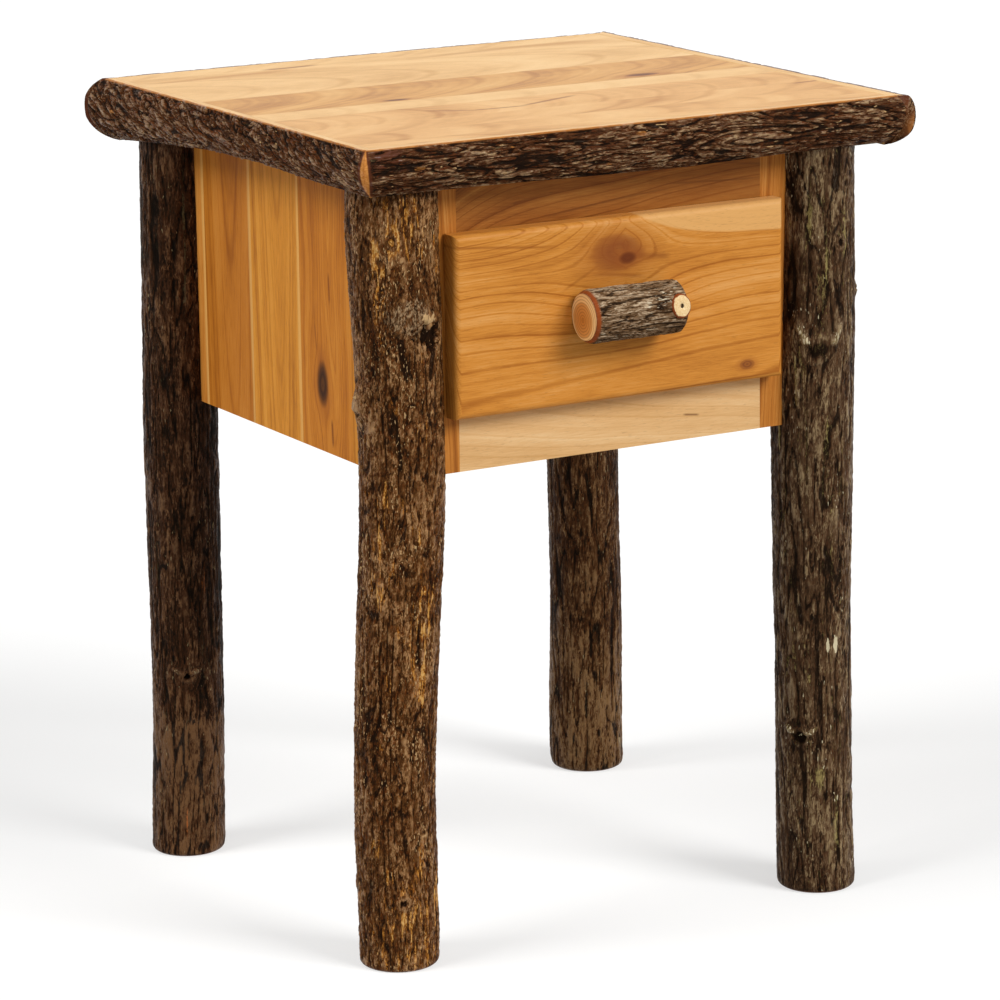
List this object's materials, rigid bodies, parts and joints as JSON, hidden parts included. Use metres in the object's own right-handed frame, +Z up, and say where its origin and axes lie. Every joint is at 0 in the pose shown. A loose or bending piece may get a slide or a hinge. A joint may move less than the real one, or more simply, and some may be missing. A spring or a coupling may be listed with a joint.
{
  "type": "rustic hickory table",
  "caption": "Small rustic end table with bark-on log legs, half-log edging round a glued board top, board sides and one overlay drawer with a log pull.",
  "frame": {"origin": "middle of the table's footprint, on the floor under its feet", "axes": "+Z up, -Y towards the drawer front, +X to the right of someone facing the drawer"},
  "size_m": [0.5544, 0.5394, 0.72],
  "materials": {
    "bark_log": "rough bark, clear coated, cut faces sanded",
    "hickory_top": "clear satin lacquer",
    "hickory_sides": "clear satin lacquer",
    "hickory_frame": "clear satin lacquer",
    "hickory_front": "clear satin lacquer",
    "pale_hickory": "clear satin lacquer",
    "hickory_plywood": "sanded, thin clear lacquer",
    "maple_box": "sanded, clear lacquer",
    "beech_dowel": "plain",
    "zinc_steel": "zinc plated",
    "clear_rubber": "soft clear"
  },
  "bodies": {
    "case": {"back_panel": "hickory_plywood", "bottom_rail": "pale_hickory", "front_left_leg": "bark_log", "front_log_edging": "bark_log", "front_right_leg": "bark_log", "left_log_edging": "bark_log", "left_runner_rail": "hickory_frame", "left_side_board_1": "hickory_sides", "left_side_board_2": "hickory_sides", "left_side_board_3": "hickory_sides", "left_side_board_4": "hickory_sides", "left_side_board_5": "hickory_sides", "left_slide_cabinet_member": "zinc_steel", "left_stile": "hickory_frame", "left_top_cleat": "hickory_frame", "leg_dowels": "beech_dowel", "rear_left_leg": "bark_log", "rear_log_edging": "bark_log", "rear_right_leg": "bark_log", "right_log_edging": "bark_log", "right_runner_rail": "hickory_frame", "right_side_board_1": "hickory_sides", "right_side_board_2": "hickory_sides", "right_side_board_3": "hickory_sides", "right_side_board_4": "hickory_sides", "right_side_board_5": "hickory_sides", "right_slide_cabinet_member": "zinc_steel", "right_stile": "hickory_frame", "right_top_cleat": "hickory_frame", "runner_screws": "zinc_steel", "slide_cabinet_screws": "zinc_steel", "top_board_1": "hickory_top", "top_board_2": "hickory_top", "top_board_3": "hickory_top", "top_board_4": "hickory_top", "top_board_5": "hickory_top", "top_board_6": "hickory_top", "top_board_7": "hickory_top", "top_board_8": "hickory_top", "top_rail": "hickory_frame", "top_screws": "zinc_steel"},
    "drawer": {"drawer_bottom": "hickory_plywood", "drawer_box_back": "maple_box", "drawer_box_front": "maple_box", "drawer_box_left_side": "maple_box", "drawer_box_right_side": "maple_box", "drawer_bumpers": "clear_rubber", "drawer_front": "hickory_front", "drawer_front_screws": "zinc_steel", "left_slide_drawer_member": "zinc_steel", "log_pull": "bark_log", "pull_screws": "zinc_steel", "right_slide_drawer_member": "zinc_steel", "slide_drawer_screws": "zinc_steel"},
    "left_slide_middle": {"left_slide_balls": "zinc_steel", "left_slide_middle_member": "zinc_steel"},
    "right_slide_middle": {"right_slide_balls": "zinc_steel", "right_slide_middle_member": "zinc_steel"}
  },
  "joints": [
    {"name": "drawer_slide", "type": "slide", "parent": "case", "child": "drawer", "axis": [0, -1, 0], "range_m": [0, 0.345]},
    {"name": "left_slide_extension", "type": "slide", "parent": "case", "child": "left_slide_middle", "axis": [0, -1, 0], "range_m": [0, 0.1725]},
    {"name": "right_slide_extension", "type": "slide", "parent": "case", "child": "right_slide_middle", "axis": [0, -1, 0], "range_m": [0, 0.1725]}
  ],
  "couplings": [
    {"joint": "left_slide_extension", "follows": "drawer_slide", "ratio": 0.5},
    {"joint": "right_slide_extension", "follows": "drawer_slide", "ratio": 0.5}
  ]
}
